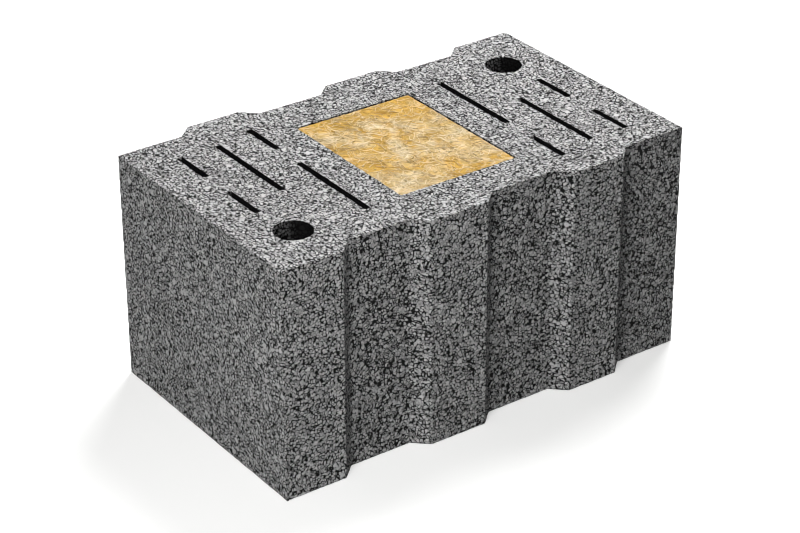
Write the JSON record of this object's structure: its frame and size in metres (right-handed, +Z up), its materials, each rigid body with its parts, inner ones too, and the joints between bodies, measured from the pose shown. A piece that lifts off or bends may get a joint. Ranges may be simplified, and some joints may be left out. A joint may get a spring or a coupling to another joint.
{
  "type": "insulated lightweight concrete block",
  "caption": "Wall block of porous lightweight concrete with air slots, grip holes, tongue-and-groove head faces and a mineral wool core in a middle chamber.",
  "frame": {"origin": "middle of the lower bed face's bounding rectangle", "axes": "+X through the wall from one plain wall face to the other, +Y along the wall from the front head face to the back head face, +Z up from the lower to the upper bed face"},
  "size_m": [0.49, 0.306, 0.248],
  "materials": {
    "lightweight_concrete": "rough, open-pored, no-fines pellets",
    "mineral_wool": "matted fibres, matte"
  },
  "bodies": {
    "root": {"concrete_block": "lightweight_concrete", "mineral_wool_core": "mineral_wool"}
  },
  "joints": []
}
